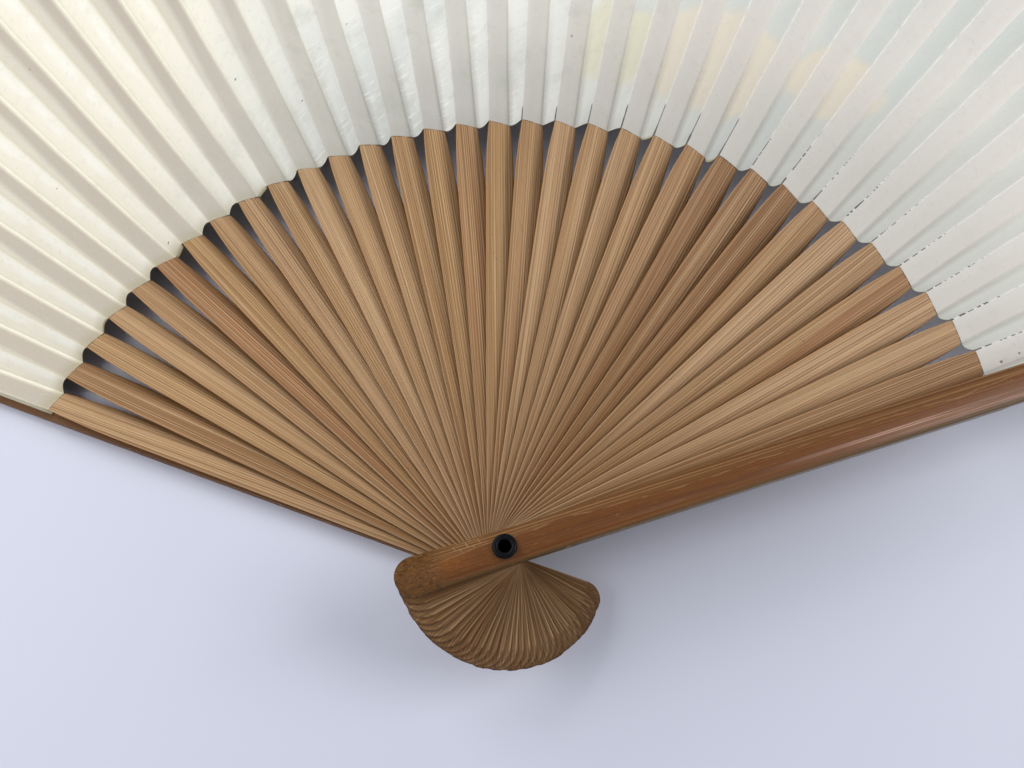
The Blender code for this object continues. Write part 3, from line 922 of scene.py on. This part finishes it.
def blendedPanel(name, rows, a, b):
    # free paper from the stick on its left to the one on its right; a line across, just inside both folds,
    # is worked out and passed on but not used
    piece = added(name, sheetMesh(name, rows, 1.0), paper)
    near, far = rows[0][0][0], rows[0][-1][0]
    middle = ((near + far) / 2).to_2d()
    lineAcross = Vector((middle.y, -middle.x)).normalized()
    width = (far - near).to_2d().dot(lineAcross)
    if width < 0:
        lineAcross, width = -lineAcross, -width
    reach = 0.49 * width
    start, end = middle - lineAcross * reach, middle + lineAcross * reach
    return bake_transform(piece, a, b, start=(*start, 0), end=(*end, 0))


def paperMaterial():
    material = newMaterial("cream paper")
    r, across, index = parts(attribute("fold"))
    place = attribute("place")
    x, y, z = parts(place)
    free = attribute("free", "Fac")
    onRib = 1.0 - free
    toMiddle = ramp(x, -85.0, -20.0)
    toRight = ramp(x, -10.0, 62.0)
    inMiddle = toMiddle * (1.0 - toRight)

    # cream on the left to pearl on the right, partly the paper's own colour and partly painted warm and
    # cool light
    panel = layered(leaf["cream"], leaf, [("white", toMiddle), ("pearl", toRight)])
    cool = noise(place * 0.03, 1.0, 2.0, 0.5, 0.5)
    panel = blendColor(panel, leaf["cloudCool"], ramp(cool, 0.44, 0.58) * toMiddle * 0.5)
    edge = noise(place * 0.09 + 4.0, 1.0, 3.0, 0.6) * 9.0
    for centerX, centerY, size, tint in leaf["clouds"]:
        away = distance(x - centerX, y - centerY) + edge
        panel = blendColor(panel, leaf[tint], ramp(away, size + 6.5, size + 2.5) * 0.75)

    # the slip shows through as a darker band, strongest on the left; the rest of a rib's face and the free
    # paper by each ridge get part of the band's colour as painted shade
    slip = layered(leaf["bandCream"], leaf, [("bandWhite", toMiddle), ("bandPearl", toRight)])
    band = ramp(across - straight(r, 93.0, 140.0, 0.02, 0.5), -0.24, 0.06)
    beside = 0.46 + toMiddle * 0.27
    share = (beside + (1.0 - beside) * band) * ramp(across - toMiddle * 0.2, 0.98, 0.74)
    color = blendColor(panel, slip, onRib * share + free * ramp(across, 0.84, 1.0) * 0.35)

    # the folds: painted shade at the ridges and in the valleys, rubbed tips with a painted highlight, and
    # painted shine on the left
    nearRidge = onRib * ramp(across, 0.12, 0.0) + free * ramp(across, 0.86, 1.0)
    nearValley = onRib * ramp(across, 0.86, 1.0) + free * ramp(across, 0.42, 0.0)
    hollow = ramp(across, 0.6, 0.0) * 0.24 + ramp(across, 0.16, 0.0) * 0.4
    ridgeTip = onRib * ramp(across, 0.05, 0.0) + free * ramp(across, 0.93, 1.0)
    rubbed = ridgeTip * ramp(noise(joined(r * 0.35, index, 0.0), 1.0, 2.0), 0.35, 0.6)
    shine = noise(joined(r * 0.12, index * 3.0, across * 1.5), 1.0, 2.0)
    glossy = free * bump(across, 0.62, 0.3) * ramp(x, -66.0, -86.0) * ramp(shine, 0.62, 0.42)
    color = layered(color, leaf, [
        ("bandWhite", onRib * band * toRight * ramp(across, 0.9, 0.75) * 0.35),
        # painted shade by the ridges on the left
        ("olive", nearRidge * (1.0 - toMiddle) * 0.55),
        # painted shade in the valleys
        ("crease", nearValley * toMiddle * ramp(r, 135.0, 94.0) * 0.46),
        # painted shade on the free paper by the valleys on the left
        ("dip", hollow * free * (1.0 - toMiddle)),
        # rubbed wear and painted highlight at the ridge tips
        ("rubbed", rubbed * (toMiddle * 0.5 + toRight * 0.35)),
        # painted shine
        ("gloss", glossy * 0.6),
    ])

    # painted shade, greyer near the ribs and along the lower edge, and lighter towards the front guard on
    # the right
    paintedShade = ramp(r, 140.0, 92.0) * (0.03 + toMiddle * 0.11 + toRight * 0.07)
    paintedShade = paintedShade - toRight * ramp(y, 84.0, 46.0) * 0.09
    paintedShade = paintedShade + inMiddle * ramp(r, 118.0, 102.0) * (onRib * 0.1 + free * 0.05)
    paintedShade = paintedShade + inMiddle * ramp(r, 98.0, 92.5) * 0.06
    paintedShade = paintedShade + toRight * free * ramp(r, 97.0, 92.0) * 0.07
    color = color * (1.0 - paintedShade)

    # the paper's own pulp and threads
    patches = noise(place * 0.16 + 11.0, 1.0, 3.0, 0.6)
    pulp = noise(place, 0.9, 4.0, 0.65)
    threads = noise(joined(x * 0.7 + y * 2.6, y * 0.5 - x * 1.9, z), 1.0, 3.0, 0.6, 0.7)
    ripple = noise(joined(r * 1.5, index * 7.0 + across * 0.9, 0.0), 1.0, 2.0, 0.6)
    color = layered(color, leaf, [
        ("rimTint", ramp(r, 95.2, 92.0) * (1.0 - toMiddle) * 0.6),
        ("mottle", ramp(patches, 0.5, 0.72) * (0.08 + inMiddle * 0.27)),
        ("pulp", ramp(pulp, 0.54, 0.75) * 0.2),
        ("thread", ramp(threads, 0.58, 0.72) * 0.22),
        ("ripple", ramp(ripple, 0.55, 0.68) * free * bump(x, -22.0, 50.0) * 0.4),
    ])

    # the folds have split on the right
    number = index + free  # the same on both sides of a ridge
    splitTo = (number - 17.0) * 1.15 + chance(number * 1.7) * 2.0 + 92.5
    slit = ramp(r - splitTo, 0.6, -0.6) * ramp(number, 17.2, 17.4) * ramp(number, 24.8, 24.6)
    dashes = noise(joined(r * 0.9, number * 3.1, 0.0), 1.0, 3.0) + ramp(r, 104.0, 92.0) * 0.1
    dashed = ramp(dashes, 0.52, 0.56) * ramp(r, 110.0, 101.0) * ramp(number, 24.2, 24.6)
    gape = ramp(noise(joined(r * 0.22, number * 2.7, 0.0)), 0.45, 0.72) * 0.05 + ramp(r, 96.0, 92.0) * 0.02
    line = onRib * ramp(across - gape * 0.3, 0.028, 0.012) + free * ramp(across + gape, 0.955, 0.98)
    specks = noise(place + 31.0, 0.55, 1.0)
    color = layered(color, leaf, [
        ("slit", line * Wire.sum("MAXIMUM", slit, dashed) * 0.9),
        ("speck", ramp(specks, 0.8, 0.83) * 0.8),
    ])
    # the underside is olive near the lower edge, painted shade, and cream further in
    back = blendColor(leaf["under"], leaf["back"], ramp(r, 92.4, 94.5))
    surface(
        Base_Color=blendColor(color, back, attribute("under", "Fac")),
        Roughness=0.6,
        Specular_IOR_Level=0.35,
        Normal=bumped(pulp * 0.5 + threads * 0.5, 0.00006, 0.6),
    )
    return material


paper = paperMaterial()
for index in range(1, ribCount + 1):
    rows = [faceSection(index, along) for along in alongLeaf]
    name = f"paper_face_{index:02d}"
    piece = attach(added(name, sheetMesh(name, rows, 0.0), paper), ribName(index))
    if index % 2:
        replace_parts(piece, f"leaf_{(index + 1) // 2:02d}")
print("rib faces of the leaf done")

for index in range(1, ribCount):
    rows = [panelRow(index, along) for along in alongLeaf]
    blendedPanel(f"paper_free_{index:02d}", rows, ribName(index), ribName(index + 1))
print("free panels done")


def stripRadius(along):
    return leafStart + (leafEnd - leafStart - leaf["stripShort"]) * along / leafReach


def guardStrip(name, angle, height, lift, body):
    # paper glued along a guard
    rows = []
    for along in alongLeaf:
        r = stripRadius(along)
        row = []
        for n, v in enumerate((leaf["stripHalf"], 0, -leaf["stripHalf"])):
            point = onStick(angle, height, r, v, lift(v))
            row.append((point + up * leaf["half"], point - up * leaf["half"], (r / mm, n / 2, 0)))
        rows.append(row)
    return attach(added(name, sheetMesh(name, rows, 1.0), paper), body)


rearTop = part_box("rear_guard")[1].z - guard["recess"]
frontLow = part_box("front_guard")[0].z + guard["recess"]


def rearLift(v):
    return leaf["stripLift"] - min(max(-fullLean * v, 0), leanDepth)


def frontLift(v):
    return -leaf["stripLift"] + min(max(fullLean * v, 0), leanDepth)


guardStrip("paper_on_rear_guard", rearAngle, rearTop, rearLift, "rear_guard")
guardStrip("paper_on_front_guard", frontAngle, frontLow, frontLift, "front_guard")

side = -leaf["stripHalf"]
rows = []
for along in alongLeaf:
    low = onStick(rearAngle, rearTop, stripRadius(along), side, rearLift(side))
    high = foldPoint(1, 1, radiusAt(1, 1, along))
    rows.append(betweenFolds(low, high, 0, along))
blendedPanel("paper_free_00", rows, "rear_guard", ribName(1))

side = leaf["stripHalf"]
rows = []
for along in alongLeaf:
    low = foldPoint(ribCount, -1, radiusAt(ribCount, -1, along))
    high = onStick(frontAngle, frontLow, stripRadius(along), side, frontLift(side))
    rows.append(betweenFolds(low, high, ribCount, along))
blendedPanel(f"paper_free_{ribCount:02d}", rows, ribName(ribCount), "front_guard")
print("leaf done")


# table, light and camera

table = {
    "size": 3,
    "color": srgb(214, 218, 236),
    "lamps": [  # name, place, size, power
        ("lamp_left", (-0.55, 0.02, 0.45), 0.4, 2.0),
        ("lamp_top_left", (-0.39, 0.45, 0.45), 0.4, 1.9),
        ("lamp_right", (0.55, 0.06, 0.45), 0.4, 2.5),
        ("lamp_low_left", (-0.52, -0.37, 0.30), 0.25, 0.3),
    ],
    "lampColor": (1.0, 0.985, 0.96),
    "lampsAim": (0, 0.06, 0),
    "dome": 0.22,
    "domeColor": (0.93, 0.96, 1.0),
    "backdrop": (0.64, 0.67, 0.78),
    "flagPlace": (0.0, -0.10, 0.21),
    "flagSize": (0.20, 0.14),
    "flagColor": (0.03, 0.03, 0.03),
}


def plate(name, size, color, rough):
    # a flat square of one color
    mesh = bmesh.new()
    bmesh.ops.create_grid(mesh, x_segments=1, y_segments=1, size=size)
    data = bpy.data.meshes.new(name)
    mesh.to_mesh(data)
    mesh.free()
    data.materials.append(newMaterial(name))
    surface(Base_Color=color, Roughness=rough)
    obj = bpy.data.objects.new(name, data)
    scene.collection.objects.link(obj)
    return obj


floor = plate("table", table["size"], table["color"], 0.5)

# a dark card above the rivet makes the darker table below the handle
flag = plate("flag", 0.5, table["flagColor"], 0.9)
flag.location = table["flagPlace"]
flag.scale = (*table["flagSize"], 1)
flag.visible_camera = False
flag.visible_glossy = False

world = bpy.data.worlds.new("room")
scene.world = world
world.use_nodes = True
Wire.tree = world.node_tree
Wire.tree.nodes.clear()
rays = Wire.node("ShaderNodeLightPath", {}, {})
seen = rays["Is Camera Ray"] + rays["Is Glossy Ray"] + rays["Is Transmission Ray"]
light = Wire.node("ShaderNodeBackground", {}, {"Color": table["domeColor"], "Strength": table["dome"]})
backdrop = Wire.node("ShaderNodeBackground", {}, {"Color": table["backdrop"], "Strength": 1.0})
both = Wire.node("ShaderNodeMixShader", {}, {0: Wire.sum("MINIMUM", seen, 1.0), 1: light, 2: backdrop})
Wire.node("ShaderNodeOutputWorld", {}, {"Surface": both})

for name, place, size, power in table["lamps"]:
    lamp = bpy.data.lights.new(name, "AREA")
    lamp.shape = "SQUARE"
    lamp.size = size
    lamp.energy = power
    lamp.color = table["lampColor"]
    stand = bpy.data.objects.new(name, lamp)
    stand.location = place
    stand.rotation_euler = (Vector(table["lampsAim"]) - stand.location).to_track_quat("-Z", "Y").to_euler()
    scene.collection.objects.link(stand)

view = {
    "lens": 31.64,
    "sensor": 36,
    "place": (-0.0019, -0.02951, 0.16707),
    "turn": (21.835, -1.074, -0.752),  # degrees
}
lens = bpy.data.cameras.new("camera")
lens.lens = view["lens"]
lens.sensor_width = view["sensor"]
lens.clip_start = 0.01
camera = bpy.data.objects.new("camera", lens)
camera.location = view["place"]
camera.rotation_euler = [radians(turn) for turn in view["turn"]]
scene.collection.objects.link(camera)
scene.camera = camera
scene.view_settings.view_transform = "Standard"

print("scene done")
